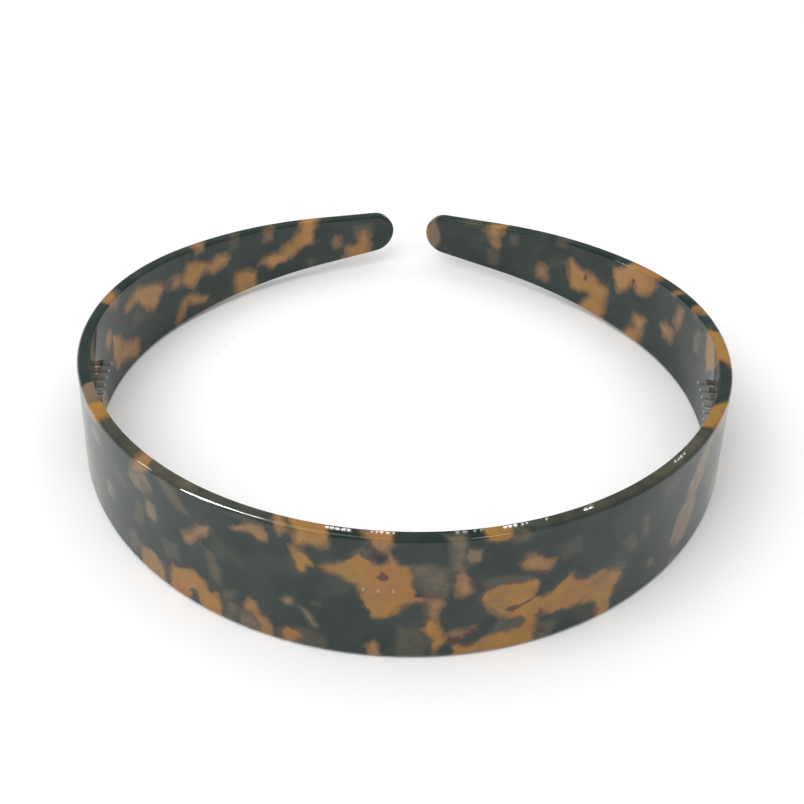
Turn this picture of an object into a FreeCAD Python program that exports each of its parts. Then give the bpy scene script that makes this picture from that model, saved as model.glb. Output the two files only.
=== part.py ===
import FreeCAD, Part
import math
import os

# A wide hard headband of polished tortoiseshell acetate: one tapering strip bent into an open
# hoop, with a row of small comb teeth standing on its inside at half height.
#
# The strip is drawn in the hoop's own frame: +Y runs from the crown to the two tips, +Z along
# the strip's walls, and the origin is on the strip's centre line at the middle of the crown.
# The right half is at +X. place_on_table() then turns and lifts everything, so that the lower
# edge rests on z = 0 and the origin is at the middle of the footprint.
#
# The real strip is one springy piece. It is divided here at the four places where its bending
# is gathered into a sprung hinge, so each segment is rigid and the segments turn on each other.

# ---- driving dimensions, in millimetres and degrees ----
THICKNESS = 2.8            # of the strip
OUTER_ROUND = 1.1          # radii of its polished edges
INNER_ROUND = 0.6
CROWN_HEIGHT = 30.6        # height of the strip at the middle of the crown
CROWN_ARC = (69.1, 74.0)   # radius of the centre line, and the angle it turns through
SIDE_ARC = (56.3, 58.0)
BACK_ARC = (86.8, 26.0)
STRAIGHT_END = 19.1        # length of the straight run at each tip
FRONT_TAPER = 2.75         # angle of each long edge to the hoop's plane, as far as the arms
TIP_RADIUS = 5.1           # radius of each rounded tip

TOOTH_PITCH = 2.8          # distance between two comb teeth along the centre line
CROWN_HALF_TEETH = 15      # teeth on each half of the crown segment
SIDE_TEETH = 25            # teeth on each side segment
TOOTH_LENGTH = 1.9
TOOTH_BASE_RADIUS = 0.75
TOOTH_TIP_RADIUS = 0.45
TOOTH_SEAT = 0.006         # keeps a tooth's flat foot clear of the hollow of the wall

ARM_PAST_TEETH = 7.0       # from the last tooth to the hinge of the arm
HINGE_GAP = 0.4            # clearance between two segments at a hinge
ARM_STEP = 0.06            # keeps the arms' lower edges clear of the table at their hinges

# ---- values that follow from them ----
Z_AXIS = FreeCAD.Vector(0, 0, 1)
ORIGIN = FreeCAD.Vector(0, 0, 0)
RUNS = [(radius, radius * math.radians(turn)) for radius, turn in (CROWN_ARC, SIDE_ARC, BACK_ARC)]
RUN_ENDS = [RUNS[0][1], RUNS[0][1] + RUNS[1][1], RUNS[0][1] + RUNS[1][1] + RUNS[2][1]]
HALF_LENGTH = RUN_ENDS[-1] + STRAIGHT_END
SIDE_HINGE = CROWN_HALF_TEETH * TOOTH_PITCH
LAST_TOOTH = (CROWN_HALF_TEETH + SIDE_TEETH - 0.5) * TOOTH_PITCH
ARM_HINGE = LAST_TOOTH + ARM_PAST_TEETH
FRONT_SLOPE = math.tan(math.radians(FRONT_TAPER))
REACH = 200.0              # longer than the whole headband, for tools that pass right through it


def station(s):
    """Point and heading of the centre line at distance s from the middle of the crown."""
    x, y, heading, left = 0.0, 0.0, 0.0, abs(s)
    for radius, length in RUNS:
        step = min(left, length)
        ahead = heading + step / radius
        x += radius * (math.sin(ahead) - math.sin(heading))
        y += radius * (math.cos(heading) - math.cos(ahead))
        heading = ahead
        left -= step
    x += left * math.cos(heading)
    y += left * math.sin(heading)
    if s < 0:
        return FreeCAD.Vector(-x, y, 0), -heading
    return FreeCAD.Vector(x, y, 0), heading


def beside(s, offset):
    """Point beside the centre line at station s; a positive offset is outside the hoop."""
    point, heading = station(s)
    return point + FreeCAD.Vector(math.sin(heading), -math.cos(heading), 0) * offset


def plan_curve(stops, offset):
    """Edges of the plan curve at that offset, with one arc or line from stop to stop."""
    edges = []
    for start, end in zip(stops[:-1], stops[1:]):
        first, last = beside(start, offset), beside(end, offset)
        if start >= RUN_ENDS[-1]:
            edges.append(Part.LineSegment(first, last).toShape())
        else:
            middle = beside((start + end) / 2, offset)
            edges.append(Part.Arc(first, middle, last).toShape())
    return edges


def strip(start, end):
    """The strip from one station to another, at more than its full height."""
    stops = [start] + [s for s in RUN_ENDS if start < s < end] + [end]
    edges = plan_curve(stops, THICKNESS / 2) + plan_curve(stops, -THICKNESS / 2)
    for s in (start, end):
        across = beside(s, THICKNESS / 2), beside(s, -THICKNESS / 2)
        edges.append(Part.LineSegment(*across).toShape())
    face = Part.Face(Part.Wire(Part.__sortEdges__(edges)))
    face.translate(Z_AXIS * -CROWN_HEIGHT)
    return face.extrude(Z_AXIS * 2 * CROWN_HEIGHT)


def half_height(y):
    """Half the height of the crown and side segments at that depth into the hoop."""
    return CROWN_HEIGHT / 2 - FRONT_SLOPE * y


def front_wedge():
    """The space between the two planes that hold the long edges of the crown and sides."""
    front, back = -2 * THICKNESS, station(ARM_HINGE)[0].y + 2 * THICKNESS
    corners = [FreeCAD.Vector(-REACH / 2, y, side * half_height(y))
               for y, side in ((front, 1), (back, 1), (back, -1), (front, -1), (front, 1))]
    return Part.Face(Part.makePolygon(corners)).extrude(FreeCAD.Vector(REACH, 0, 0))


def arm_wedge():
    """The space that holds an arm: two planes closing on a round end, square to the tip."""
    tip, heading = station(HALF_LENGTH)
    towards_tip = FreeCAD.Vector(math.cos(heading), math.sin(heading), 0)
    hinge = station(ARM_HINGE)[0]
    run = (tip - hinge).dot(towards_tip)
    hinge_height = half_height(hinge.y) - ARM_STEP
    # each long edge leaves the hinge at hinge_height and touches the tip's circle
    to_centre = run - TIP_RADIUS
    slant = math.hypot(to_centre, hinge_height)
    taper = math.atan2(hinge_height, to_centre) - math.asin(TIP_RADIUS / slant)
    touch_x = -TIP_RADIUS + TIP_RADIUS * math.sin(taper)
    touch_z = TIP_RADIUS * math.cos(taper)
    start_x = -run - 2 * THICKNESS
    start_z = touch_z + (touch_x - start_x) * math.tan(taper)

    def corner(x, z):
        return FreeCAD.Vector(x, -REACH / 2, z)

    outline = [Part.LineSegment(corner(start_x, start_z), corner(touch_x, touch_z)),
               Part.Arc(corner(touch_x, touch_z), corner(0, 0), corner(touch_x, -touch_z)),
               Part.LineSegment(corner(touch_x, -touch_z), corner(start_x, -start_z)),
               Part.LineSegment(corner(start_x, -start_z), corner(start_x, start_z))]
    face = Part.Face(Part.Wire([curve.toShape() for curve in outline]))
    wedge = face.extrude(FreeCAD.Vector(0, REACH, 0))
    turn = FreeCAD.Rotation(Z_AXIS, math.degrees(heading))
    wedge.Placement = FreeCAD.Placement(tip, turn)
    return wedge


def is_outside(point):
    """Whether a point lies outside the centre line, seen in plan."""
    flat = FreeCAD.Vector(point.x, point.y, 0)
    steps = [HALF_LENGTH * i / 400 for i in range(-400, 401)]
    nearest = min(steps, key=lambda s: (station(s)[0] - flat).Length)
    return (flat - beside(nearest, 0)).dot(beside(nearest, 1) - beside(nearest, 0)) > 0


def polished(segment):
    """Rounds the edges that run along the strip and round its tip, outside and then inside."""
    outer, inner = [], []
    for edge in segment.Edges:
        middle = (edge.FirstParameter + edge.LastParameter) / 2
        upright = edge.Curve.TypeId == "Part::GeomLine" and abs(edge.tangentAt(middle).z) > 0.9
        if edge.Length > 2 * THICKNESS and not upright:
            (outer if is_outside(edge.valueAt(middle)) else inner).append(edge)
    places = [edge.CenterOfMass for edge in inner]
    segment = segment.makeFillet(OUTER_ROUND, outer)
    inner = [edge for edge in segment.Edges
             if any((edge.CenterOfMass - place).Length < 0.01 for place in places)]
    return segment.makeFillet(INNER_ROUND, inner)


def mirrored(shape):
    """The same shape on the other half of the hoop."""
    return shape.mirror(ORIGIN, FreeCAD.Vector(1, 0, 0))


def band_segments():
    """The five rigid segments of the strip, by name."""
    gap = HINGE_GAP / 2
    crown = strip(-SIDE_HINGE + gap, SIDE_HINGE - gap).common(front_wedge())
    side = strip(SIDE_HINGE + gap, ARM_HINGE - gap).common(front_wedge())
    arm = strip(ARM_HINGE + gap, HALF_LENGTH).common(arm_wedge())
    side, arm = polished(side), polished(arm)
    return {"crown_band": polished(crown),
            "left_side_band": mirrored(side), "right_side_band": side,
            "left_arm_band": mirrored(arm), "right_arm_band": arm}


def tooth():
    """One comb tooth: a tapering peg with a domed end, standing on z = 0 along +Z."""
    shoulder = TOOTH_LENGTH - TOOTH_TIP_RADIUS
    foot_rim = FreeCAD.Vector(TOOTH_BASE_RADIUS, 0, 0)
    dome_rim = FreeCAD.Vector(TOOTH_TIP_RADIUS, 0, shoulder)
    dome_side = FreeCAD.Vector(TOOTH_TIP_RADIUS * math.sin(math.pi / 4), 0,
                               shoulder + TOOTH_TIP_RADIUS * math.cos(math.pi / 4))
    top = FreeCAD.Vector(0, 0, TOOTH_LENGTH)
    outline = [Part.LineSegment(ORIGIN, foot_rim), Part.LineSegment(foot_rim, dome_rim),
               Part.Arc(dome_rim, dome_side, top), Part.LineSegment(top, ORIGIN)]
    face = Part.Face(Part.Wire([curve.toShape() for curve in outline]))
    return face.revolve(ORIGIN, Z_AXIS, 360)


def tooth_row(stations):
    """A group of separate teeth on the inner wall, pointing into the hoop."""
    teeth = []
    for s in stations:
        foot = beside(s, -THICKNESS / 2 - TOOTH_SEAT)
        inward = beside(s, -1) - beside(s, 0)
        peg = tooth()
        peg.Placement = FreeCAD.Placement(foot, FreeCAD.Rotation(Z_AXIS, inward))
        teeth.append(peg)
    return Part.makeCompound(teeth)


def comb_teeth():
    """The teeth that stand on the crown and on each side segment."""
    crown = [(i + 0.5) * TOOTH_PITCH for i in range(CROWN_HALF_TEETH)]
    side = tooth_row([SIDE_HINGE + (i + 0.5) * TOOTH_PITCH for i in range(SIDE_TEETH)])
    return {"crown_teeth": tooth_row([-s for s in reversed(crown)] + crown),
            "left_side_teeth": mirrored(side), "right_side_teeth": side}


def place_on_table(shapes):
    """Turns the hoop to stand on its lower edge, and centres its footprint on the origin."""
    turn = FreeCAD.Rotation(FreeCAD.Vector(1, 0, 0), -FRONT_TAPER)
    lowest = turn.multVec(Z_AXIS * (-CROWN_HEIGHT / 2))
    stand = FreeCAD.Placement(lowest * -1, turn).toMatrix()
    standing = {name: shape.transformed(stand, copy=True) for name, shape in shapes.items()}
    box = Part.makeCompound(list(standing.values())).optimalBoundingBox(False, False)
    shift = FreeCAD.Matrix()
    shift.move(FreeCAD.Vector(0, -box.Center.y, 0))
    return {name: shape.transformed(shift, copy=True) for name, shape in standing.items()}


def main():
    os.makedirs("parts", exist_ok=True)
    for name, shape in place_on_table({**band_segments(), **comb_teeth()}).items():
        shape.exportStep("parts/" + name + ".step")
        print(name, len(shape.Solids), "solids, valid:", shape.isValid(),
              "volume:", round(shape.Volume, 1), "mm3")


main()
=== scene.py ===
import bpy
import math
import numpy as np
from mathutils import Matrix, Vector


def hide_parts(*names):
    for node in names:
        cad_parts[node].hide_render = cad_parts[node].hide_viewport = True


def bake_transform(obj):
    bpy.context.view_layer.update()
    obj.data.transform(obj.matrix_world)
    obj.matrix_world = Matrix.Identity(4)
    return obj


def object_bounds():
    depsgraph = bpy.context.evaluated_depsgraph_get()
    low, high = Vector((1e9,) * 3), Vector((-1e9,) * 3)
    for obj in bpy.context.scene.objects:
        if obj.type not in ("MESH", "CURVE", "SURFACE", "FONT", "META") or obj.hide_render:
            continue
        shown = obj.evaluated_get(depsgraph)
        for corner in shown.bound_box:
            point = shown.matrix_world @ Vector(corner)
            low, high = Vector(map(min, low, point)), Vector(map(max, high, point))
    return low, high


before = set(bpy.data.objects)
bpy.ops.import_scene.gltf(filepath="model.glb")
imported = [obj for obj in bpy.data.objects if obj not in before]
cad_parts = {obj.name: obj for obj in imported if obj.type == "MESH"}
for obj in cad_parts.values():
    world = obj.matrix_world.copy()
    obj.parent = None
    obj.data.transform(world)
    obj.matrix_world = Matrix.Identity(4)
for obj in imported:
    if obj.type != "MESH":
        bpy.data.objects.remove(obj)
cad_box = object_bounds()

# A wide, hard headband of polished tortoiseshell acetate with small comb teeth on its inside.
# The strip is drawn as in the CAD: in millimetres in the hoop's own frame, where s runs along
# the centre line from the middle of the crown, negative on the left, h up the wall from half
# height, and off across the thickness, positive outside. to_row() takes it to the shared frame.

MM = 0.001
THICK = 2.8
OUTER_ROUND = 1.1                # radii of the polished edges
INNER_ROUND = 0.6
CROWN_HEIGHT = 30.6
ARCS = ((69.1, 74.0), (56.3, 58.0), (86.8, 26.0))    # radius, turn in degrees
STRAIGHT_END = 19.1
TAPER = math.radians(2.75)       # of each long edge, as far as the arms; also how the hoop leans
TIP_RADIUS = 5.1
PITCH = 2.8                      # of the teeth
TEETH = 40                       # on each half
TOOTH_LENGTH = 1.9
TOOTH_TIP_RADIUS = 0.45
TOOTH_SIDES = 18
ARM_HINGE = 117.6
ARM_STEP = 0.06                  # keeps the arms' lower edges off the table
SEAM = 88.0                      # where the front and rear pieces of each half meet
CROWN_BEND = (2.0, 82.0)         # stations along the strip; the loop below finds their points on the centre line but does not use them
ARM_BEND = (90.0, 146.0)
RINGS = {"front": 177, "rear": 227}                  # sections along each piece
TIP_STEPS = 32                   # round the end of each arm

RUN_LENGTHS = [radius * math.radians(turn) for radius, turn in ARCS]
RUN_STARTS = [0.0, RUN_LENGTHS[0], RUN_LENGTHS[0] + RUN_LENGTHS[1]]
ARC_END = sum(RUN_LENGTHS)
HALF_LENGTH = ARC_END + STRAIGHT_END
TIP_CENTRE = HALF_LENGTH - TIP_RADIUS
HALF = THICK / 2


# ---- the strip's surface ----

def station(s):
    """x, y and heading of the centre line at each s >= 0."""
    s = np.asarray(s, float)
    x, y, heading = np.zeros_like(s), np.zeros_like(s), np.zeros_like(s)
    for (radius, turn), start, length in zip(ARCS, RUN_STARTS, RUN_LENGTHS):
        step = np.clip(s - start, 0, length)
        ahead = heading + step / radius
        x += radius * (np.sin(ahead) - np.sin(heading))
        y += radius * (np.cos(heading) - np.cos(ahead))
        heading = ahead
    left = np.clip(s - ARC_END, 0, None)
    return x + left * np.cos(heading), y + left * np.sin(heading), heading


def plan(s, off):
    """x, y and heading of the point beside the centre line."""
    x, y, heading = station(s)
    return x + np.sin(heading) * off, y - np.cos(heading) * off, heading


def smooth(t):
    t = np.clip(t, 0, 1)
    return t * t * (3 - 2 * t)


def half_height(s, off):
    """Half the height of the strip: two planes at the front, straight lines on the arms."""
    y = plan(s, off)[1]
    front = CROWN_HEIGHT / 2 - math.tan(TAPER) * y
    tip_x, tip_y, heading = station(HALF_LENGTH)
    hinge_x, hinge_y, _ = station(ARM_HINGE)
    towards = np.array([math.cos(heading), math.sin(heading)])
    run = (tip_x - hinge_x) * towards[0] + (tip_y - hinge_y) * towards[1]
    tall = CROWN_HEIGHT / 2 - math.tan(TAPER) * float(hinge_y) - ARM_STEP
    reach = run - TIP_RADIUS
    fall = math.atan2(tall, reach) - math.asin(TIP_RADIUS / math.hypot(reach, tall))
    px, py, _ = plan(s, off)
    behind = (tip_x - px) * towards[0] + (tip_y - py) * towards[1] - TIP_RADIUS
    arm = TIP_RADIUS / math.cos(fall) + behind * math.tan(fall)
    blend = smooth((np.asarray(s) - ARM_HINGE + 6) / 12)
    return front * (1 - blend) + arm * blend, fall


def edge_up(s, off):
    """The upward normal of the top edge, as parts along the strip, outward and up."""
    step = 0.05
    along = (half_height(s + step, off)[0] - half_height(s - step, off)[0]) / (2 * step)
    out = (half_height(s, off + step)[0] - half_height(s, off - step)[0]) / (2 * step)
    n = np.stack([-along, -out, np.ones_like(along)], -1)
    return n / np.linalg.norm(n, axis=-1, keepdims=True)


def half_profile(wall=30, corner=6, flat=3):
    """Upper half of a section, from the outer wall's middle over the top to the inner wall's.
    Each row is off, a, b, normal out, normal up, with height = a * half_height + b."""

    def quarter(round_):
        rows = [(HALF, i / wall, -round_ * i / wall, 1, 0) for i in range(wall + 1)]
        for i in range(1, corner + 1):
            turn = math.pi / 2 * i / corner
            c, s = math.cos(turn), math.sin(turn)
            rows.append((HALF - round_ + round_ * c, 1, -round_ * (1 - s), c, s))
        return rows

    outer = quarter(OUTER_ROUND)
    inner = [(-off, a, b, -out, up) for off, a, b, out, up in reversed(quarter(INNER_ROUND))]
    first, last = outer[-1][0], inner[0][0]
    land = [(first + (last - first) * i / flat, 1, 0, 0, 1) for i in range(1, flat)]
    return np.array(outer + land + inner)


def full_ring(profile):
    lower = profile[-2:0:-1] * (1, -1, -1, 1, -1)
    return np.concatenate([profile, lower])


def frame_at(s, off):
    """Point on the plan, and the unit vectors along the strip and outward, for each s."""
    x, y, heading = plan(s, off)
    zero = np.zeros_like(heading)
    along = np.stack([np.cos(heading), np.sin(heading), zero], -1)
    outward = np.stack([np.sin(heading), -np.cos(heading), zero], -1)
    return np.stack([x, y, zero], -1), along, outward


UP = np.array([0.0, 0.0, 1.0])


def strip_mesh(start, end, rings):
    """Points, normals, band coordinates and faces of the strip from start to end, right half."""
    profile = half_profile()
    ring = full_ring(profile)
    m, upper = len(ring), len(profile)
    round_tip = end >= TIP_CENTRE
    stops = np.linspace(start, end, rings)
    s = np.repeat(stops, m)
    off, a, b, n_out, n_up = np.tile(ring, (rings, 1)).T
    h = a * half_height(s, off)[0] + b
    base, along, outward = frame_at(s, off)
    points = base + h[:, None] * UP
    top = edge_up(s, off)
    top[:, 2] *= np.sign(n_up)
    edge = top[:, :1] * along + top[:, 1:2] * outward + top[:, 2:] * UP
    normals = n_out[:, None] * outward + np.abs(n_up)[:, None] * edge
    coords = np.stack([s, h, off], -1)
    faces = []
    for r in range(rings - 1):
        at = r * m
        for j in range(m):
            k = (j + 1) % m
            faces.append((at + j, at + m + j, at + m + k, at + k))
    faces.append(tuple(range(m)))
    if not round_tip:
        faces.append(tuple((rings - 1) * m + j for j in reversed(range(m))))
        return points, normals, coords, faces

    # the round end: the same half section, swung from up through the tip to down
    fall = half_height(HALF_LENGTH, 0)[1]
    last = (rings - 1) * m
    new_points, new_normals, new_coords = [], [], []
    inner = profile[1:-1]
    for k in range(1, TIP_STEPS):
        psi = math.pi * k / TIP_STEPS
        off, a, b, n_out, n_up = inner.T
        lean = min(max(psi, fall), math.pi - fall)
        reach = a * TIP_RADIUS / math.cos(lean - psi) + b
        base, along, outward = frame_at(np.full(len(inner), end), off)
        swing = math.cos(psi) * UP + math.sin(psi) * along
        rim = math.cos(lean) * UP + math.sin(lean) * along
        new_points.append(base + reach[:, None] * swing)
        new_normals.append(n_out[:, None] * outward + n_up[:, None] * rim)
        new_coords.append(np.stack([end + reach * math.sin(psi), reach * math.cos(psi), off], -1))
    first = len(points)
    points = np.concatenate([points] + new_points)
    normals = np.concatenate([normals] + new_normals)
    coords = np.concatenate([coords] + new_coords)

    def index(k, j):
        if j == 0 or j == upper - 1 or k == 0:
            return last + j
        if k == TIP_STEPS:
            return last + m - j
        return first + (k - 1) * (upper - 2) + j - 1

    for k in range(TIP_STEPS):
        for j in range(upper - 1):
            quad = (index(k, j), index(k + 1, j), index(k + 1, j + 1), index(k, j + 1))
            faces.append(tuple(dict.fromkeys(quad)))
    return points, normals, coords, faces


def tooth_mesh(stations):
    """Moulded comb teeth on the inner wall of the right half, as one mesh."""
    shoulder = TOOTH_LENGTH - TOOTH_TIP_RADIUS
    profile = [(1.02, -0.04), (0.9, 0.02), (0.8, 0.12), (0.74, 0.32), (0.66, 0.65), (0.55, 1.1),
               (TOOTH_TIP_RADIUS, shoulder)]         # radius and length, with a small fillet
    for i in range(1, 5):
        angle = math.pi / 2 * i / 5
        profile.append((TOOTH_TIP_RADIUS * math.cos(angle),
                        shoulder + TOOTH_TIP_RADIUS * math.sin(angle)))
    points, normals, coords, faces = [], [], [], []
    radii, lengths = np.array(profile).T
    slope = np.gradient(radii) / np.gradient(lengths)
    for s in stations:
        base, along, outward = (v[0] for v in frame_at(np.array([s]), np.array([-HALF])))
        first = len(points)
        for radius, length, g in zip(radii, lengths, slope):
            for i in range(TOOTH_SIDES):
                turn = 2 * math.pi * i / TOOTH_SIDES
                ray = math.cos(turn) * along + math.sin(turn) * UP
                points.append(base - outward * length + ray * radius)
                normals.append((ray + outward * g) / math.hypot(1, g))
                coords.append((s, 0.0, -HALF - length))
        points.append(base - outward * TOOTH_LENGTH)
        normals.append(-outward)
        coords.append((s, 0.0, -HALF - TOOTH_LENGTH))
        rows = len(profile)
        for r in range(rows - 1):
            for i in range(TOOTH_SIDES):
                j = (i + 1) % TOOTH_SIDES
                a, b = first + r * TOOTH_SIDES, first + (r + 1) * TOOTH_SIDES
                faces.append((a + i, b + i, b + j, a + j))
        top = first + (rows - 1) * TOOTH_SIDES
        for i in range(TOOTH_SIDES):
            faces.append((top + i, first + rows * TOOTH_SIDES, top + (i + 1) % TOOTH_SIDES))
        faces.append(tuple(first + i for i in range(TOOTH_SIDES)))
    return np.array(points), np.array(normals), np.array(coords), faces


def to_row(points):
    """From the hoop's own frame, in millimetres, to the shared frame, in metres."""
    x, y, z = points.T
    c, s = math.cos(TAPER), math.sin(TAPER)
    return np.stack([x, y * c + z * s, -y * s + z * c], -1)


def shift_to_cad(points):
    """The hoop stands on its lower edge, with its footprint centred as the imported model's is."""
    low, high = points.min(0), points.max(0)
    centre = (cad_box[0].y + cad_box[1].y) / 2 / MM
    return np.array([0, centre - (low[1] + high[1]) / 2, -low[2]])


front_strip = strip_mesh(0.0, SEAM, RINGS["front"])
rear_strip = strip_mesh(SEAM, TIP_CENTRE, RINGS["rear"])
SHIFT = shift_to_cad(to_row(np.concatenate([front_strip[0], rear_strip[0]])))


def row_point(s, side):
    """A point on the centre line in the shared frame."""
    x, y, _ = station(s)
    point = to_row(np.array([[side * float(x), float(y), 0.0]]))[0] + SHIFT
    return tuple(point * MM)


# ---- the flakes of the tortoiseshell, in millimetres along and up the strip ----
# Each is a tone and its corners: 1 is clear amber, and lower tones are browner and softer.

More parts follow.
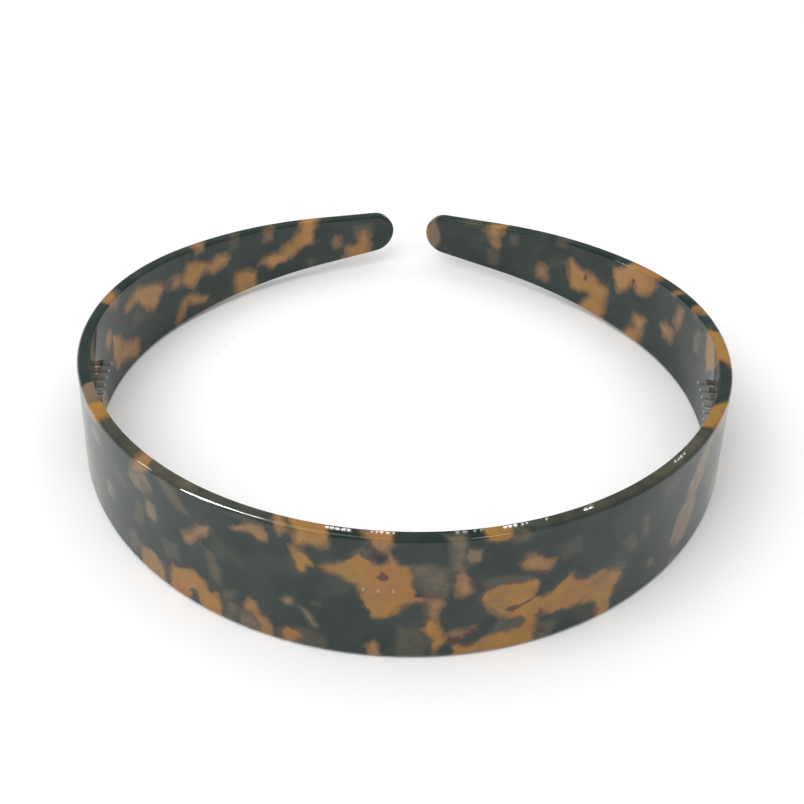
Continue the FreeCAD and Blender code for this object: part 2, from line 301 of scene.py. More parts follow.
FLAKES = [
    # the outside of the crown
    (1.00, [(-15, 6.7), (-12, 8), (-9.4, 9.2), (-7, 11.6), (-6.4, 10.6), (-4.6, 9.2), (-3, 8.8),
            (-1.9, 9.4), (-1.6, 12), (-0.6, 10.6), (0.4, 9), (2.4, 9), (3, 6), (3.2, 3),
            (3.4, 1.4), (4.8, 0.8), (4.6, 0.2), (2.6, -0.4), (0.6, -1.4), (0, -3), (-1, -4.6),
            (-2.6, -5), (-4.4, -4.6), (-5.4, -3), (-6.3, -0.4), (-6.6, 1.6), (-7.6, 3.2),
            (-9.6, 4.4), (-12, 5.6)]),
    (0.90, [(-20.2, 10.8), (-18, 10.4), (-16.4, 8.6), (-14.8, 7), (-15.2, 6.2), (-16.4, 6.4),
            (-16.9, 4.6), (-18, 4.6), (-19.3, 6.4), (-19.8, 8.6)]),
    (0.85, [(-19.2, 17), (-12.8, 17), (-12.7, 12), (-14, 11.6), (-16.4, 11.6), (-19, 10.6)]),
    (0.70, [(-23.6, 17), (-19.8, 17), (-20.2, 14.4), (-22, 12), (-22.8, 12.8)]),
    (0.70, [(-31.6, 10.4), (-30, 12), (-28.6, 13.4), (-25.4, 13.2), (-24.2, 11.4), (-24.4, 10),
            (-26, 9.6), (-27.8, 10.6)]),
    (0.75, [(-5.8, 17), (-0.6, 17), (-1, 13.4), (-2, 12), (-3.8, 12.2), (-5, 14)]),
    (0.80, [(-29.6, -8.4), (-28.6, -6.4), (-27, -6.8), (-26.2, -9.4), (-24.6, -10.4),
            (-23.6, -13), (-23.6, -17), (-27.2, -17), (-26.8, -12.2), (-28.2, -10.2),
            (-29.8, -9.8)]),
    (0.90, [(-22.6, -17), (-21.6, -12), (-20.8, -10.6), (-18.2, -11), (-18.2, -12.6),
            (-19.8, -17)]),
    (0.80, [(-5.3, -12), (-4, -10.6), (-2.8, -12), (-2.7, -17), (-4.9, -17)]),
    (0.95, [(7.3, -4.4), (8.2, -7), (9.7, -9.6), (9.4, -11), (8, -12.6), (7, -17),
            (6.6, -17), (7.2, -11), (5, -7.4), (6.2, -4.6)]),
    (0.75, [(5.6, 0.6), (8.2, 0.6), (8.8, -0.8), (7.8, -2.6), (7.5, -4.6), (6.3, -4.8),
            (6, -2)]),
    (0.70, [(11.2, 8.6), (12.6, 8.4), (12.8, 5.6), (14, 3.6), (14.2, 1.4), (12.6, 0.4),
            (11, 0.8), (10.6, 3)]),
    (1.00, [(15.6, 17), (21.8, 17), (21.4, 14), (18.6, 13.6), (16.4, 14)]),
    (0.75, [(23.2, 7.4), (24.2, 8.9), (26.4, 8), (30.2, 6), (29.4, 4.2), (28, 3.4), (26.4, 4.8),
            (24.6, 5), (23, 6.2)]),
    (0.95, [(17, 1.8), (20, 2.2), (26.8, 2), (27.4, 0.4), (26.4, -2.8), (30, -2.4), (32, -0.8),
            (33.9, 0.7), (35.1, -1.1), (37.5, -2.3), (41.5, -1.5), (44.7, -3), (46.7, -4.6),
            (46.4, -6.6), (44.5, -8.5), (44.3, -12.4), (43.8, -17), (41, -17), (41, -11),
            (39.5, -9.2), (36, -8.6), (33, -8.2), (30.4, -8.4), (28.4, -7.2), (27.2, -7.6),
            (27, -10), (27.4, -12.6), (27, -17),
            (10.4, -17), (10.8, -12.4), (12, -12), (13.6, -12.6), (15.6, -12), (17.6, -10.4),
            (20.6, -9.9), (24, -10), (24.8, -8.4), (24, -6.6), (21, -6.9), (19.6, -6.2),
            (18, -4.4), (16.4, -2.6), (15.8, -0.6)]),
    (0.50, [(10.2, -8.2), (14.6, -7.6), (14.8, -8.8), (13, -9.2), (12.4, -10.2), (10.6, -9.8)]),
    (0.75, [(-57, -8.6), (-55, -8), (-53, -7.8), (-50.4, -9.2), (-49.4, -11), (-49.6, -17),
            (-56.4, -17), (-57.6, -11)]),
    (0.95, [(-47.4, -6.8), (-45.6, -7.2), (-43, -6), (-40.8, -5.6), (-38.6, -7.2), (-37.6, -9),
            (-35.8, -8.8), (-34.8, -10.4), (-35.2, -17), (-39, -17), (-40.8, -10.8),
            (-42.4, -11.2), (-43, -17), (-48.6, -17), (-48, -10)]),
    (0.65, [(-43.6, 2.8), (-41.6, 5.2), (-39.2, 7.6), (-37, 8), (-38, 5.4), (-40, 3),
            (-42, 1.2), (-43.2, 1.2)]),
    (0.60, [(-58, 10.8), (-57, 13.5), (-56.6, 17), (-52.2, 17), (-52.4, 14), (-54.4, 12),
            (-56.2, 10.6)]),
    # the top edge and the sides
    (0.92, [(-77.5, 16), (-69.8, 16), (-71.4, 13), (-73.5, 11), (-76.4, 10.6), (-78, 12.5)]),
    (1.00, [(75.2, 16), (87, 16), (86.5, 11.5), (84, 8.6), (80, 9.4), (77.5, 12.2)]),
    (0.80, [(80, -5), (83, -3.6), (86, -6), (85, -10), (82, -10.5)]),
    (0.85, [(93.5, -9), (97, -7.6), (99.5, -9), (99, -16), (94, -16)]),
    (0.75, [(95, 6.5), (97, 8), (98.5, 5.5), (97.4, 2), (95.6, 3)]),
    (0.85, [(-96, -8), (-92.5, -6.5), (-90, -9), (-91, -16), (-97, -16)]),
    (0.55, [(-106, 6), (-103, 7.4), (-101, 4), (-103, 0.5), (-106.5, 1.4)]),
    (0.85, [(-110, -7.5), (-106.4, -6), (-104.5, -9.5), (-106, -14), (-110.6, -14)]),
    (0.75, [(101, -1), (104.5, 0.5), (106.5, -3), (104, -6.4), (101, -5.4)]),
    # the inside of the right side and arm
    (0.95, [(101.6, 14), (114.6, 14), (114.7, 9.8), (113.5, 5), (111.4, 2.6), (109, 4.2),
            (106, 7), (102.4, 10)]),
    (0.70, [(121.3, 14), (125, 14), (124.4, 10.6), (122.2, 10)]),
    (0.70, [(127.4, 8.6), (130.4, 8.4), (130.8, 3), (129, 2), (127.6, 4.4)]),
    (0.55, [(131, 13), (133.2, 13), (132.8, 9.4), (131.2, 9.8)]),
    (0.65, [(130, 1.2), (133.4, 1.6), (135.8, -0.4), (134, -3.2), (131, -2.4)]),
    (1.00, [(137.2, 14), (148.4, 12), (149, 9.4), (150, 8), (152.4, 6.6), (152.6, 4.4),
            (150.8, 0.7), (148, 2.5), (146.4, 5), (144.8, 3), (143, 4), (140, 5.2), (139, 8.4)]),
    (0.90, [(140.4, -2), (144.9, -1.9), (145.2, -4.4), (144.6, -6), (147.6, -8.8), (148, -12),
            (142.6, -12), (141.4, -6.6)]),
    (1.00, [(153.4, 0.4), (156.5, 0.8), (158.4, 2.6), (161, 2), (165, 3.9), (166.1, 2.6),
            (165, -1.4), (164.4, -3.9), (162.4, -4), (159, -3.4), (160, -6), (163.2, -9.6),
            (154.8, -11), (154.2, -6.4), (153.3, -2.4)]),
    (0.65, [(171, -0.6), (174.2, -0.4), (174.4, -4.6), (171.4, -5.2)]),
    (0.75, [(183.8, 9), (187.2, 9), (188.4, 4.4), (186.9, 0.4), (185.2, 0.4), (184.4, 4)]),
    (0.75, [(203.2, 1.2), (204.6, 3.4), (207, 4), (207, -1), (205.4, -0.6), (204.6, -3.4),
            (203.2, -3.2)]),
    # the inside of the left side and arm
    (0.95, [(-139.9, 3), (-138.4, 5.2), (-135, 6.6), (-130.5, 8.4), (-128.5, 7.6), (-124.6, 6.6),
            (-125, 4.4), (-130, 4.4), (-131.6, 2), (-133.5, 0), (-135.8, -1.1), (-137.6, 0.4)]),
    (0.95, [(-129.9, -6.4), (-129, -4.9), (-126, -4), (-122.4, -1.9), (-121, 0.6),
            (-117.5, 3.2), (-116.4, 0), (-117, -4), (-118, -7.4), (-121, -6.6), (-125, -8),
            (-127.6, -9.6), (-129.2, -9)]),
    (0.70, [(-117.2, 5), (-114, 6.2), (-112.3, 3.4), (-114.5, 0.8), (-117, 2)]),
    (0.80, [(-123, 14), (-116, 14), (-117.4, 10.4), (-120.4, 8.8)]),
    (0.60, [(-145.4, 4), (-143, 4.6), (-142.4, 1.4), (-145, 1)]),
    (0.80, [(-198.6, -0.6), (-197, 1.6), (-195, 1.4), (-194.8, -1.6), (-191.8, -1.8),
            (-191.4, -6.5), (-198.4, -6.5)]),
    (0.50, [(-190.4, 1.4), (-188.8, 1.6), (-188, -0.4), (-189, -2.2), (-190.4, -1.6)]),
    (0.95, [(-184.3, 9), (-180.2, 9.6), (-179.4, 5), (-177, 2.6), (-175, 2), (-174, 0.1),
            (-170, 0), (-168.4, -1.5), (-170, -2.6), (-172.5, -4.1), (-174.5, -3),
            (-177.5, -2.3), (-179.6, -0.5), (-180.6, 0.4), (-183, 0.5), (-183.5, 3.5)]),
    (0.60, [(-172.7, 8), (-170.4, 7.4), (-170, 4.6), (-172.2, 4.6)]),
    (1.00, [(-167.2, -3.4), (-165, -1.9), (-162, -2), (-161.2, -4.5), (-162, -9), (-167.8, -9)]),
    (0.95, [(-160.1, 3), (-159, 4.9), (-156.4, 5.1), (-154.6, 3.5), (-152, 5), (-148, 6.6),
            (-146, 4), (-145.4, 1.4), (-147.5, 0), (-149, -2), (-150.5, 0), (-153, 2.1),
            (-155, 0.4), (-158.6, 1.2)]),
    (0.75, [(-153.6, -5.3), (-151, -4.4), (-148, -2), (-145.5, -3), (-143, -7), (-144, -9.2),
            (-146, -7.4), (-147, -5), (-150, -6.4), (-152.6, -6.8)]),
    (0.65, [(-153.4, 12), (-149.8, 12), (-150.4, 7.4), (-152.6, 7.8)]),
]

# flakes that lie deep in the sheet: each shows only as an olive or beige shadow with soft edges,
# stronger for a higher level
DEEP_FLAKES = [
    (0.60, [(2.4, 9), (6, 9.6), (9.5, 8), (10.2, 4), (9, 0.4), (5.6, 1.4), (3.4, 4)]),
    (0.95, [(-18.4, -4.6), (-17.2, -5), (-16, -6.4), (-14.8, -8.8), (-15.2, -9.6),
            (-16.2, -9), (-17.2, -6.4)]),
    (0.65, [(9.2, 16), (12.6, 16), (12.4, 10), (11.6, 7.4), (9.8, 7.2)]),
    (0.95, [(13, 12.6), (15.4, 12), (15.2, 9.2), (13.2, 8.8), (12.4, 10.4)]),
    (0.70, [(-31, -9.6), (-28.4, -10), (-26.8, -12), (-27, -17), (-31.4, -17)]),
    (0.45, [(-19.5, -10.4), (-15.5, -10), (-13, -12), (-13.4, -16), (-19.5, -16)]),
    (0.55, [(-38.4, 2), (-36.2, 1.8), (-34.8, -2), (-35.2, -6), (-37, -5)]),
    (0.50, [(-34.8, -7), (-31.4, -5.6), (-32.4, -8.6), (-34.6, -9.6)]),
    (0.60, [(-33.6, -9), (-31, -9.4), (-31.6, -16), (-34.6, -16)]),
    (0.50, [(19.4, -6.6), (24, -6.6), (25.4, -8.4), (24.4, -10.4), (18, -10.6)]),
    (0.85, [(-22, -4), (-20.8, -2.5), (-19.4, -2.9), (-19.7, -4.6), (-21, -5)]),
    (0.50, [(-15.9, -2.5), (-14.2, -2.7), (-14.4, -3.5), (-15.7, -3.5)]),
    (0.80, [(-53.6, 6), (-51.4, 5.4), (-50.6, 3), (-51.6, 0.8), (-54, 1.4), (-54.4, 3.6)]),
    (0.45, [(-57, 4), (-54.6, 3), (-56, -3), (-59, -3)]),
    (0.70, [(-59.8, 8.4), (-58, 12), (-53.6, 12.6), (-51.4, 9), (-54, 6.6), (-57.6, 6.4)]),
    (0.55, [(-50, 14), (-46.6, 15), (-43.6, 11), (-41.4, 8.4), (-44.6, 8.6), (-48, 11)]),
    (0.40, [(-33, 13.6), (-29, 15), (-25, 14), (-26, 12.6), (-30, 13.4)]),
    (0.65, [(-70.6, -0.4), (-67.6, 0.4), (-66, -1.8), (-67, -4.2), (-70, -3.8)]),
    (0.75, [(-78, 6.4), (-76, 9.4), (-72, 10), (-71, 7), (-74, 6)]),
    (0.95, [(-84, 16), (-76, 16), (-76, 11), (-80, 9.6), (-84, 12)]),
    (0.40, [(-66, 6), (-60.4, 5.2), (-59.6, 4), (-64.6, 4.6)]),
    (0.50, [(-61.4, -7), (-58.4, -6.4), (-57, -9), (-59, -12), (-61.4, -11)]),
    (0.40, [(-50, -2), (-45.4, -1), (-45, -5), (-49, -6)]),
    (0.35, [(-84.5, -2), (-81, -1), (-80, -8), (-83.5, -10)]),
    (0.45, [(48.4, 4.4), (46, 3.4), (47.2, 1), (48.5, -0.9), (50.3, 0.2)]),
    (0.55, [(50.8, 7), (52.8, 6.6), (53.2, 1.2), (51.6, 1.2)]),
    (0.60, [(53.6, -6.4), (55.4, -6.2), (56.8, -8.9), (54.8, -9)]),
    (0.60, [(62.2, -11), (64, -10.4), (66, -13), (64.4, -16), (62, -16)]),
    (0.85, [(61.2, -6.4), (62.2, -3), (63.2, 0), (65.6, 1.8), (65.8, 4.8), (68, 7.6), (69.2, 10),
            (73, 12.6), (77, 13.4), (77.4, 11.6), (75, 9.4), (74.6, 6), (73, 3), (70.2, 1.2),
            (71, -2.4), (69.6, -6), (67, -9), (63.4, -9.8)]),
    (0.40, [(44, -1), (47.6, -2.6), (47, -7), (45, -8)]),
    (0.35, [(55, 12), (61, 13), (62, 9), (57, 8)]),
    (0.30, [(30, 9), (35, 10), (36, 6), (32, 5)]),
    (0.45, [(0.4, -6.6), (4, -7.4), (6, -11), (5, -16), (0, -16)]),
    (0.45, [(15.6, 4), (20, 4.6), (26, 3.4), (26, 1), (17, 1)]),
    (0.55, [(20, 15.4), (24.4, 15.6), (24.6, 12.4), (21.4, 12.2)]),
    (0.50, [(27.4, -9.6), (31.6, -11), (30.4, -14.6), (27.6, -15)]),
    (0.50, [(-8.6, 11), (-6.4, 13), (-4.8, 11.6), (-6.4, 9.8)]),
    (0.60, [(117, 8.4), (120, 8.6), (121.4, 5), (120.6, 1.4), (118, 2.4)]),
    (0.40, [(166, 9.6), (170, 9), (169.6, 6), (166.6, 6.2)]),
    (0.50, [(180, 5.2), (182, 5), (181.8, 2.4), (180.2, 2.6)]),
    (0.40, [(189, 9), (195, 8), (194.4, 4.6), (190, 5)]),
    (0.90, [(200.8, 0.8), (202.4, 4.4), (207, 5), (207, -5), (202.6, -4.6), (200.6, -2)]),
    (0.45, [(184.6, -0.4), (188, -0.4), (187.6, -4.6), (185, -4.4)]),
    (0.60, [(-124, 12), (-119, 14), (-117, 10), (-121, 7.4)]),
    (0.50, [(-199, 3.6), (-193.6, 3.6), (-194, -0.6), (-199, -0.4)]),
    (0.50, [(-183.6, -4), (-181.8, -4), (-182, -7), (-183.6, -7)]),
    (0.45, [(-145, 4.6), (-140, 5), (-140.4, 1), (-144.6, 1)]),
    (0.45, [(-163, 8.6), (-160.4, 9), (-160.6, 5), (-162.6, 5.4)]),
    (0.40, [(-112, 8), (-107, 10), (-106, 5), (-110, 3)]),
    (0.45, [(-88, 3), (-84.5, 5), (-83, 1), (-85.5, -3), (-89, -2)]),
    (0.40, [(-79, -4), (-75.5, -5.5), (-74, -9), (-76, -13.8), (-80.5, -16), (-82, -11)]),
    (0.35, [(84, 2), (88, 4), (91, 1), (92, -3), (88.5, -4), (86, -1.5)]),
    (0.45, [(106, 2), (109, 3), (110.4, -2), (107, -4.6)]),
    (0.40, [(-132, -2), (-129, -1), (-127, 1.6), (-129.6, 3)]),
    # the olive cast along the top edge
    (0.50, [(56, 13.8), (66, 13.5), (74.6, 13.2), (74.6, 17), (56, 17)]),
    (0.32, [(26, 14.7), (45, 14.2), (57, 13.8), (57, 17), (26, 17)]),
    (0.34, [(-74, 13.2), (-60, 13.6), (-52, 13.9), (-52, 17), (-74, 17)]),
    (0.55, [(-53, 13.9), (-40, 14.3), (-40, 17), (-53, 17)]),
    (0.32, [(-41, 14.3), (-20, 14.9), (-20, 17), (-41, 17)]),
]

# dark red-brown splinters inside the amber
SPLINTERS = [
    [(-3.9, 5.8), (-3.2, 6.4), (-2.9, 7.5), (-2.2, 6.8), (-1.6, 6.4), (-1.4, 5.4), (-2.3, 4.7),
     (-3.2, 4.9)],
    [(20.4, -4), (22, -3.4), (23.4, -3.6), (26.6, -2.6), (25, -3.8), (23.4, -4.6), (22, -5.4),
     (21, -4.9)],
    [(27.4, -5.6), (28.2, -6.2), (28.3, -7.8), (27.5, -8)],
    [(9.8, -9.8), (11, -10.1), (12.1, -9.8), (12.5, -11.2), (14, -11.6), (15.2, -12.2),
     (13.6, -12.9), (12.2, -12), (11.2, -10.9), (10, -11)],
    [(13.4, -7.8), (15, -8), (14.8, -8.8), (13.6, -8.7)],
    [(27.5, -12), (29, -11.6), (30, -12.6), (28.4, -13)],
    [(-30.9, -9), (-30, -8.6), (-30.2, -10.2), (-31, -10.4)],
    [(26.4, 3.2), (27.4, 2.6), (28.8, 3.6), (27.6, 4)],
    [(-50, -8.6), (-49.2, -9.4), (-48.9, -11.6), (-49.6, -11)],
    [(145.5, 6.6), (146.8, 6.8), (146.4, 4.6)],
    [(160.2, 2), (161, 0.6), (160.8, -0.8), (160, 0.4)],
    [(-117.4, 2.6), (-116.4, 2), (-116, -3), (-117, -2.4)],
]


def distance_in(points, corners):
    """Distance of each point from the outline, positive inside."""
    ring = np.array(corners, float)
    nearest = np.full(len(points), 1e9)
    inside = np.zeros(len(points), bool)
    for (ax, ay), (bx, by) in zip(ring, np.roll(ring, -1, axis=0)):
        dx, dy = bx - ax, by - ay
        px, py = points[:, 0] - ax, points[:, 1] - ay
        t = np.clip((px * dx + py * dy) / (dx * dx + dy * dy), 0, 1)
        nearest = np.minimum(nearest, np.hypot(px - t * dx, py - t * dy))
        if ay != by:
            crosses = (ay > points[:, 1]) != (by > points[:, 1])
            inside ^= crosses & (px < dx * py / dy)
    return np.where(inside, nearest, -nearest)


FAR = 3.0                        # beyond this, a distance from an outline doesn't matter
CHIP_SLANT = (1.2, 0.5)          # how far a chip lies over at the other wall, along and up
CHIP_WANDER = 2.2                # how far its outline wanders on the way


def near(points, corners):
    """The points that lie within FAR of the outline's box."""
    ring = np.array(corners, float)
    low, high = ring.min(0) - FAR, ring.max(0) + FAR
    return np.flatnonzero(((points > low) & (points < high)).all(1))


def ripple(a, b, seed):
    """A smooth wandering value between about -1 and 1."""
    return (np.sin(a * 0.41 + seed) * np.cos(b * 0.37 - seed * 1.7)
            + np.sin(a * 0.83 - b * 0.59 + seed * 2.3) * 0.6) / 1.6


def flake_fields(s, h, off):
    """Distance into the nearest flake, its tone, the deep flakes' level, and the splinters.
    The outlines hold on the outer wall at the front and on the inner wall of the arms. A chip
    runs through the sheet at a slant, so its outline wanders from there to the other wall."""
    rear = smooth((np.abs(s) - SEAM) / 14)
    inward = np.clip((HALF - off) / THICK, 0, 1)
    depth = inward * (1 - rear) + (1 - inward) * rear
    at = np.stack([s + depth * (CHIP_SLANT[0] + CHIP_WANDER * ripple(s, h, 1.0)),
                   h + depth * (CHIP_SLANT[1] + CHIP_WANDER * ripple(s, h, 4.0))], -1)
    into = np.full(len(s), -FAR)
    tone = np.full(len(s), 0.8)
    for level, corners in FLAKES:
        some = near(at, corners)
        d = distance_in(at[some], corners)
        better = d > into[some]
        into[some[better]] = d[better]
        tone[some[better]] = level
    deep = np.zeros(len(s))
    for level, corners in DEEP_FLAKES:
        some = near(at, corners)
        d = distance_in(at[some], corners)
        deep[some] = np.maximum(deep[some], level * smooth(d / 1.6 + 0.55))
    splinter = np.full(len(s), -FAR)
    for corners in SPLINTERS:
        some = near(at, corners)
        splinter[some] = np.maximum(splinter[some], distance_in(at[some], corners))
    return into, tone, deep, splinter


# ---- materials ----

# linear colours; a pair is the two ends of a slow cloudy variation
SHEET = ((0.010, 0.0225, 0.0185, 1), (0.024, 0.0385, 0.0335, 1))    # dark green-black
OLIVE = ((0.080, 0.080, 0.052, 1), (0.108, 0.086, 0.060, 1))        # the deepest flakes
BEIGE = ((0.150, 0.125, 0.080, 1), (0.215, 0.135, 0.088, 1))        # flakes nearer the surface
BROWN = ((0.085, 0.045, 0.036, 1), (0.105, 0.072, 0.040, 1))        # a chip's sloping edge
CLEAR_AMBER = ((0.308, 0.140, 0.038, 1), (0.315, 0.158, 0.028, 1))
DEEP_AMBER = (0.225, 0.130, 0.082, 1)
GLOWING_AMBER = (0.365, 0.186, 0.040, 1)
DULL_AMBER = (0.185, 0.112, 0.050, 1)
RED_AMBER = (0.26, 0.105, 0.035, 1)
BACKLIT_AMBER = (0.45, 0.235, 0.078, 1)
SPECK = (0.14, 0.045, 0.025, 1)
SPLINTER = (0.075, 0.022, 0.026, 1)
# painted highlight: the glints of the teeth seen through the crown's amber
TOOTH_GLINT = (0.62, 0.47, 0.24, 1)
# painted sheen on the teeth, and a painted highlight on their tips
TOOTH = (0.200, 0.196, 0.178, 1)
TOOTH_TIP_HIGHLIGHT = (0.60, 0.58, 0.54, 1)

CHIP_START = 0.34                # below 0.5 draws the chips in a little from their corners
DOT_SHIFT = 0.8                  # where the painted glints of the teeth show through the amber, from where the teeth stand
DOT_HEIGHT = 2.4
DOT_RADII = (0.32, 0.55)         # along and up the strip
DOTS_MIDDLE = -3.5               # the clear chip that they show through
ACETATE_IOR = 1.48


class Nodes:
    """Short calls for building a node tree. A value is a number, a colour or a socket."""

    def __init__(self, tree):
        self.tree = tree
        tree.nodes.clear()

    def fill(self, socket, value):
        if hasattr(value, "links"):
            self.tree.links.new(value, socket)
        else:
            socket.default_value = value

    def add(self, kind, values=None, **settings):
        made = self.tree.nodes.new(kind)
        for name, value in settings.items():
            setattr(made, name, value)
        for name, value in (values or {}).items():
            self.fill(made.inputs[name], value)
        return made

    def math(self, operation, a, b=0.0, clamp=False):
        return self.add("ShaderNodeMath", {0: a, 1: b}, operation=operation,
                        use_clamp=clamp).outputs[0]

    def spread(self, value, low, high, to_low=0.0, to_high=1.0):
        """Smoothly from to_low, where value is low or less, to to_high."""
        return self.add("ShaderNodeMapRange", {0: value, 1: low, 2: high, 3: to_low, 4: to_high},
                        interpolation_type="SMOOTHSTEP").outputs[0]

    def mix(self, factor, a, b):
        made = self.add("ShaderNodeMix", data_type="RGBA")
        for index, value in ((0, factor), (6, a), (7, b)):
            self.fill(made.inputs[index], value)
        return made.outputs[2]

    def noise(self, vector, wavelength, detail=2.0, rough=0.5, distortion=0.0):
        """Noise whose largest features are about a wavelength, in millimetres."""
        return self.add("ShaderNodeTexNoise", {"Vector": vector, "Scale": 1 / wavelength,
                                               "Detail": detail, "Roughness": rough,
                                               "Distortion": distortion}).outputs[0]

    def stretch(self, vector, scale):
        return self.add("ShaderNodeMapping", {"Vector": vector, "Scale": scale}).outputs[0]

    def attribute(self, name):
        return self.add("ShaderNodeAttribute", attribute_name=name)

    def parts(self, vector):
        return self.add("ShaderNodeSeparateXYZ", {0: vector}).outputs


def ragged_edge(n, flat, into):
    """The distance inside a chip with its outline made ragged, and the raggedness by itself."""
    coarse = n.noise(flat, 3.0, detail=4.0, rough=0.62, distortion=0.4)
    ragged = n.math("MULTIPLY", n.math("SUBTRACT", coarse, 0.5), 2.6)
    fine = n.math("MULTIPLY", n.math("SUBTRACT", n.noise(flat, 0.9), 0.5), 0.5)
    return n.math("ADD", into, n.math("ADD", ragged, fine)), ragged


def chip_cover(n, flat, edge, tone, away):
    """How far a chip covers the dark sheet: mostly crisp at its edge, and softer where it lies
    deeper and on the arms."""
    softness = n.spread(n.noise(flat, 7.0, detail=1.0), 0.38, 0.62, 0.35, 1.0)
    softness = n.math("ADD", softness, n.math("MULTIPLY", n.math("SUBTRACT", 1.0, tone), 0.7))
    softness = n.math("ADD", softness, n.spread(away, 100.0, 140.0, 0.0, 0.7))
    cover = n.math("DIVIDE", edge, n.math("MULTIPLY", softness, 2.0))
    return n.spread(n.math("ADD", cover, CHIP_START, clamp=True), 0.0, 1.0)


def dark_sheet(n, flat, deep):
    """The dark sheet, with the deep flakes as olive or beige shadows in it."""
    cloud = n.spread(n.noise(flat, 11.0, detail=3.0, rough=0.55), 0.35, 0.68)
    haze = n.spread(n.noise(flat, 14.0, distortion=0.6), 0.56, 0.72, 0.0, 0.24)
    patchy = n.spread(n.noise(flat, 3.4, detail=3.0), 0.25, 0.6, 0.75, 1.12)
    veil = n.math("MAXIMUM", n.math("MULTIPLY", deep, patchy), haze)
    olive = n.mix(n.noise(flat, 5.0), *OLIVE)
    beige = n.mix(n.noise(flat, 4.0), *BEIGE)
    shadow = n.mix(n.spread(veil, 0.5, 0.9), olive, beige)
    return n.mix(n.math("MULTIPLY", veil, 1.35, clamp=True), n.mix(cloud, *SHEET), shadow)


def amber_body(n, band, flat, tone):
    """The amber, from pinkish brown in the deeper chips to clear golden orange."""
    clear = n.mix(n.spread(n.noise(flat, 16.0, detail=1.0), 0.42, 0.6), *CLEAR_AMBER)
    amber = n.mix(n.spread(tone, 0.55, 0.98), DEEP_AMBER, clear)
    glow = n.spread(n.noise(flat, 7.5, distortion=0.4), 0.35, 0.68)
    amber = n.mix(n.math("MULTIPLY", glow, 0.5), amber, GLOWING_AMBER)
    dull = n.noise(flat, 6.5, detail=4.0, rough=0.6, distortion=0.8)
    amber = n.mix(n.spread(dull, 0.48, 0.72, 0.0, 0.62), amber, DULL_AMBER)
    streak = n.noise(n.stretch(band, (1.6, 0.28, 0.25)), 2.2, detail=3.0, rough=0.6)
    amber = n.mix(n.spread(streak, 0.52, 0.75, 0.0, 0.22), amber, RED_AMBER)
    speck = n.noise(flat, 0.55, detail=1.0)
    return n.mix(n.spread(speck, 0.71, 0.76, 0.0, 0.45), amber, SPECK)


def painted_tooth_glints(n, s, h, off, into):
    """Painted highlights: the glints on the comb teeth behind the crown's clear chip, painted as
    small pale dots above half height.
    """
    along = n.math("FRACT", n.math("DIVIDE", n.math("SUBTRACT", s, DOT_SHIFT), PITCH))
    along = n.math("MULTIPLY", n.math("SUBTRACT", along, 0.5), PITCH / DOT_RADII[0])
    up = n.math("DIVIDE", n.math("SUBTRACT", h, DOT_HEIGHT), DOT_RADII[1])
    glint_mask = n.math("ADD", n.math("POWER", along, 2.0), n.math("POWER", up, 2.0))
    glint_mask = n.spread(glint_mask, 0.2, 1.3, 0.4, 0.0)
    outside = n.spread(off, 0.9, 1.1)
    central = n.math("ABSOLUTE", n.math("SUBTRACT", s, DOTS_MIDDLE))
    for limit in (outside, n.spread(central, 4.2, 4.8, 1.0, 0.0), n.spread(into, 0.2, 0.6)):
        glint_mask = n.math("MULTIPLY", glint_mask, limit)
    return glint_mask


def backlight(n, flat, off, away):
    """How much light from behind clears the amber on the inner wall of the arms."""
    arms = n.spread(away, 100.0, 150.0)
    inside = n.spread(off, -0.4, 0.4, 1.0, 0.0)
    patchy = n.spread(n.noise(flat, 9.0), 0.35, 0.65, 0.05, 0.7)
    return n.math("MULTIPLY", n.math("MULTIPLY", arms, inside), patchy)


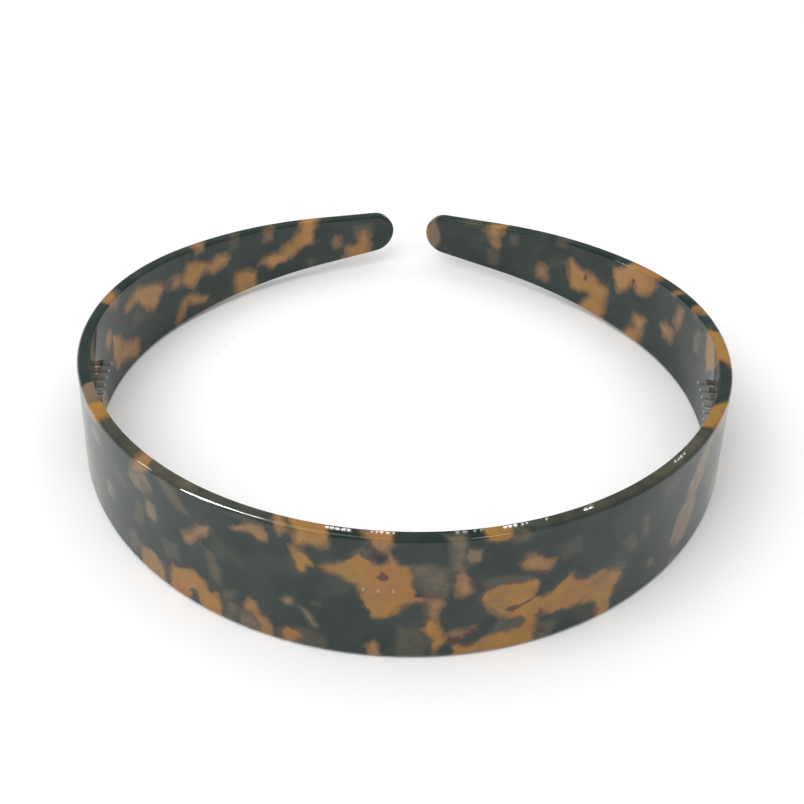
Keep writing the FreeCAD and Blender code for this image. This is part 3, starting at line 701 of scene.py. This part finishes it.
def acetate(name, painted_sheen=0.0):
    """Polished tortoiseshell: dark sheet, amber chips, deeper chips and red-brown splinters.
    painted_sheen greys and lightens it with painted light, for the sheen on the teeth and light
    coming through a slender piece, and paints a highlight at each tip."""
    material = bpy.data.materials.new(name)
    material.use_nodes = True
    n = Nodes(material.node_tree)
    band = n.attribute("band").outputs["Vector"]
    flat = n.stretch(band, (1, 1, 0.25))
    s, h, off = n.parts(band)
    into, tone, deep = n.parts(n.attribute("fields").outputs["Vector"])
    splinter = n.attribute("splinter").outputs["Fac"]
    away = n.math("ABSOLUTE", s)
    edge, ragged = ragged_edge(n, flat, into)

    # a chip's edge slopes under the dark sheet, and shows red-brown before it clears to amber
    slope = n.math("ADD", edge, n.spread(n.noise(flat, 4.2), 0.35, 0.7, -0.1, 0.75))
    brown = n.mix(n.noise(flat, 6.0), *BROWN)
    sheet = n.mix(n.spread(slope, -0.8, 0.5, 0.0, 0.8), dark_sheet(n, flat, deep), brown)

    amber = amber_body(n, band, flat, tone)
    # painted highlights: pale dots for the glints on the teeth behind the clear amber
    amber = n.mix(painted_tooth_glints(n, s, h, off, into), amber, TOOTH_GLINT)
    amber = n.mix(backlight(n, flat, off, away), amber, BACKLIT_AMBER)

    colour = n.mix(chip_cover(n, flat, edge, tone, away), sheet, amber)
    thorn = n.math("ADD", splinter, n.math("MULTIPLY", ragged, 0.4))
    colour = n.mix(n.spread(thorn, -0.2, 0.25, 0.0, 0.85), colour, SPLINTER)
    if painted_sheen:
        # painted light: a grey painted sheen over the teeth, then a painted highlight on each tip
        colour = n.mix(painted_sheen, colour, TOOTH)
        reach = n.math("MULTIPLY", off, -1.0)
        colour = n.mix(n.spread(reach, 2.95, 3.25, 0.0, 0.6), colour, TOOTH_TIP_HIGHLIGHT)

    # polish: a clear glossy skin with a faint waviness and hairline marks
    wave = n.noise(band, 6.0)
    hair = n.noise(n.stretch(band, (0.12, 2.6, 1)), 0.9, rough=0.6)
    height = n.math("ADD", wave, n.math("MULTIPLY", n.spread(hair, 0.6, 0.75), 0.03))
    bump = n.add("ShaderNodeBump", {"Strength": 0.25, "Distance": 0.00001, "Height": height})
    rough = n.spread(n.noise(flat, 3.0, detail=3.0), 0.3, 0.7, 0.16, 0.26)
    shader = n.add("ShaderNodeBsdfPrincipled", {"Base Color": colour, "Roughness": rough,
                                                "Normal": bump.outputs[0],
                                                "Coat Normal": bump.outputs[0]})
    shader.inputs["IOR"].default_value = ACETATE_IOR
    shader.inputs["Specular IOR Level"].default_value = 0.0
    shader.inputs["Coat Weight"].default_value = 0.87
    shader.inputs["Coat Roughness"].default_value = 0.02
    shader.inputs["Coat IOR"].default_value = ACETATE_IOR
    n.add("ShaderNodeOutputMaterial", {"Surface": shader.outputs[0]})
    return material


# ---- making the pieces ----

def make_piece(name, parts, side, material):
    """A mesh object from points, normals, band coordinates and faces, mirrored on the left."""
    points, normals, coords, faces = parts
    points, normals, coords = points.copy(), normals.copy(), coords.copy()
    normals /= np.linalg.norm(normals, axis=1, keepdims=True)
    if side < 0:
        points[:, 0] *= -1
        normals[:, 0] *= -1
        coords[:, 0] *= -1
        faces = [tuple(reversed(face)) for face in faces]
    points = (to_row(points) + SHIFT) * MM
    normals = to_row(normals)
    mesh = bpy.data.meshes.new(name)
    mesh.from_pydata(points.tolist(), [], faces)
    mesh.polygons.foreach_set("use_smooth", [len(face) <= 4 for face in faces])
    into, tone, deep, splinter = flake_fields(*coords.T)
    for label, kind, values in (("band", "FLOAT_VECTOR", coords),
                                ("fields", "FLOAT_VECTOR", np.stack([into, tone, deep], -1)),
                                ("splinter", "FLOAT", splinter)):
        layer = mesh.attributes.new(label, kind, "POINT")
        key = "vector" if kind == "FLOAT_VECTOR" else "value"
        layer.data.foreach_set(key, np.ascontiguousarray(values, np.float32).ravel())
    mesh.materials.append(material)
    loops = np.zeros(len(mesh.loops), np.int32)
    mesh.loops.foreach_get("vertex_index", loops)
    loop_normals = normals[loops]
    for polygon in mesh.polygons:
        if polygon.loop_total > 4:
            start = polygon.loop_start
            loop_normals[start:start + polygon.loop_total] = polygon.normal
    mesh.normals_split_custom_set(loop_normals.tolist())
    made = bpy.data.objects.new(name, mesh)
    bpy.context.scene.collection.objects.link(made)
    return made


shell = acetate("tortoiseshell")
# the teeth's material, with a painted sheen and painted highlights at the tips
tooth_shell = acetate("tortoiseshell_painted_sheen", painted_sheen=0.85)
tooth_stations = [(i + 0.5) * PITCH for i in range(TEETH)]
front_teeth = tooth_mesh([s for s in tooth_stations if s < SEAM])
rear_teeth = tooth_mesh([s for s in tooth_stations if s > SEAM])

# the pieces that the long windows light
crown_pieces = bpy.data.collections.new("crown_pieces")
for side, label in ((1, "right"), (-1, "left")):
    bends = (("front", front_strip, front_teeth, "crown", label + "_side", CROWN_BEND),
             ("rear", rear_strip, rear_teeth, label + "_side", label + "_arm", ARM_BEND))
    for part, strip, teeth, body_a, body_b, bend in bends:
        start, end = (row_point(s, side) for s in bend)
        band = make_piece(f"band_{label}_{part}", strip, side, shell)
        comb = make_piece(f"comb_{label}_{part}", teeth, side, tooth_shell)
        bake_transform(band)
        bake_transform(comb)
        if part == "front":
            crown_pieces.objects.link(band)
            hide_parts("crown_band", label + "_side_band")
            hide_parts("crown_teeth", label + "_side_teeth")
        else:
            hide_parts(label + "_side_band", label + "_arm_band")
            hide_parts(label + "_side_teeth")


# ---- floor, light and camera ----

FLOOR_REACH = 4                  # metres
FLOOR_COLOUR = (0.93, 0.93, 0.93, 1)

paper = bpy.data.materials.new("floor")
paper.use_nodes = True
paper_shader = paper.node_tree.nodes["Principled BSDF"]
paper_shader.inputs["Base Color"].default_value = FLOOR_COLOUR
paper_shader.inputs["Roughness"].default_value = 0.9
paper_shader.inputs["Specular IOR Level"].default_value = 0.0
corners = [(x * FLOOR_REACH, y * FLOOR_REACH, 0) for x, y in ((-1, -1), (1, -1), (1, 1), (-1, 1))]
floor_mesh = bpy.data.meshes.new("floor")
floor_mesh.from_pydata(corners, [], [(0, 1, 2, 3)])
floor_mesh.materials.append(paper)
floor = bpy.data.objects.new("floor", floor_mesh)
bpy.context.scene.collection.objects.link(floor)


LIGHT_AIM = (0, 0, 0.01)


def area_light(name, place, width, height, power, aim=LIGHT_AIM):
    light = bpy.data.lights.new(name, "AREA")
    light.shape = "RECTANGLE"
    light.size, light.size_y = width, height
    light.energy = power
    made = bpy.data.objects.new(name, light)
    made.location = place
    made.rotation_euler = (Vector(aim) - Vector(place)).to_track_quat("-Z", "Y").to_euler()
    bpy.context.scene.collection.objects.link(made)
    return made


world = bpy.data.worlds.new("studio")
bpy.context.scene.world = world
world.use_nodes = True
background = world.node_tree.nodes["Background"]
background.inputs["Color"].default_value = (1, 1, 1, 1)
background.inputs["Strength"].default_value = 0.35
ceiling = area_light("ceiling", (0, 0, 0.9), 2.0, 2.0, power=12.6, aim=(0, 0, 0))
ceiling.visible_glossy = False


def polar(azimuth, elevation, distance):
    """A place round the object; azimuth 0 is in front, and positive is to the right."""
    a, e = math.radians(azimuth), math.radians(elevation)
    return (distance * math.sin(a) * math.cos(e), -distance * math.cos(a) * math.cos(e),
            distance * math.sin(e))


area_light("key", polar(-50, 55, 0.8), 0.6, 0.6, power=2.2)


def shine(name, place, width, height, radiance, only=None):
    """A lamp or window that only shows in the polish, as a highlight."""
    light = area_light(name, place, width, height, power=radiance * math.pi * width * height)
    light.visible_diffuse = False
    if only:
        light.light_linking.receiver_collection = only


shine("window_left", polar(-66.4, 28, 0.6), 0.042, 0.5, 80, crown_pieces)
shine("window_middle", polar(-62.0, 34, 0.6), 0.036, 0.5, 80, crown_pieces)
shine("pane_left", polar(-86, 18, 0.6), 0.026, 0.15, 26)
shine("window_right", polar(31, 39, 0.6), 0.11, 0.05, 14)
shine("pane_right", polar(20, 40, 0.6), 0.06, 0.03, 6)

# a row of small ceiling lamps, whose reflections bead along the top edge of the crown:
# the places on the edge, as station and offset, and the length and brightness of each lamp
BEADS = ((-13.2, -0.4, 1.9, 32), (-12.3, -0.4, 1.9, 36), (-11.3, -0.4, 2.1, 40),
         (-10.2, -0.4, 2.0, 40), (-9.2, -0.4, 1.8, 32), (-4.9, -0.55, 0.9, 18),
         (-4.0, -0.55, 1.0, 18), (-3.1, -0.55, 1.4, 24), (-2.0, -0.55, 1.6, 22),
         (-0.9, -0.55, 1.0, 16), (10.9, -0.6, 1.8, 10), (12.3, -0.6, 2.2, 11),
         (14.2, -0.65, 0.9, 13), (15.4, -0.65, 0.9, 11), (20.0, -0.4, 1.9, 36),
         (21.0, -0.4, 1.9, 40), (22.0, -0.4, 1.5, 32), (23.3, -0.4, 1.0, 27),
         (24.2, -0.4, 0.9, 24), (28.2, -0.4, 0.9, 21), (36.6, 0.1, 2.6, 40),
         (37.6, 0.15, 2.2, 36), (61.2, -0.1, 1.0, 15), (62.4, -0.1, 0.9, 13),
         (63.4, -0.1, 1.2, 18), (64.6, -0.1, 1.0, 14))
LAMP_DISTANCE = 0.5
LAMP_HEIGHT = 0.75

CAMERA_AIM = Vector((-0.36, -1.94, 9.38)) * MM
CAMERA_DISTANCE = 0.360
CAMERA_LENS = 73.22
AZIMUTH, ELEVATION, ROLL = (math.radians(a) for a in (0.27, 39.92, 1.68))
back = Vector((math.sin(AZIMUTH) * math.cos(ELEVATION),
               -math.cos(AZIMUTH) * math.cos(ELEVATION), math.sin(ELEVATION)))
right = Vector((math.cos(AZIMUTH), math.sin(AZIMUTH), 0))
up = back.cross(right)
turned = (right * math.cos(ROLL) + up * math.sin(ROLL),
          up * math.cos(ROLL) - right * math.sin(ROLL))
camera_data = bpy.data.cameras.new("camera")
camera_data.sensor_width = 36.0
camera_data.lens = CAMERA_LENS
camera_data.clip_start = 0.01
camera = bpy.data.objects.new("camera", camera_data)
camera.matrix_world = (Matrix.Translation(CAMERA_AIM + back * CAMERA_DISTANCE)
                       @ Matrix((*turned, back)).transposed().to_4x4())
bpy.context.scene.collection.objects.link(camera)
bpy.context.scene.camera = camera

# each lamp hangs where the top edge mirrors it into the camera at the bead's place
edge_normal = Vector((0, math.sin(2 * TAPER), math.cos(2 * TAPER)))
for i, (s, off, length, brightness) in enumerate(BEADS):
    x, y, _ = (float(v) for v in plan(abs(s), off))
    top = float(half_height(abs(s), off)[0])
    bead = Vector((to_row(np.array([[math.copysign(x, s), y, top]]))[0] + SHIFT) * MM)
    ray = (bead - camera.location).normalized()
    lamp_at = bead + ray.reflect(edge_normal) * LAMP_DISTANCE
    shine(f"lamp_{i}", lamp_at, length * MM, LAMP_HEIGHT * MM, brightness)

bpy.context.scene.view_settings.view_transform = "Standard"
bpy.context.scene.view_settings.look = "None"
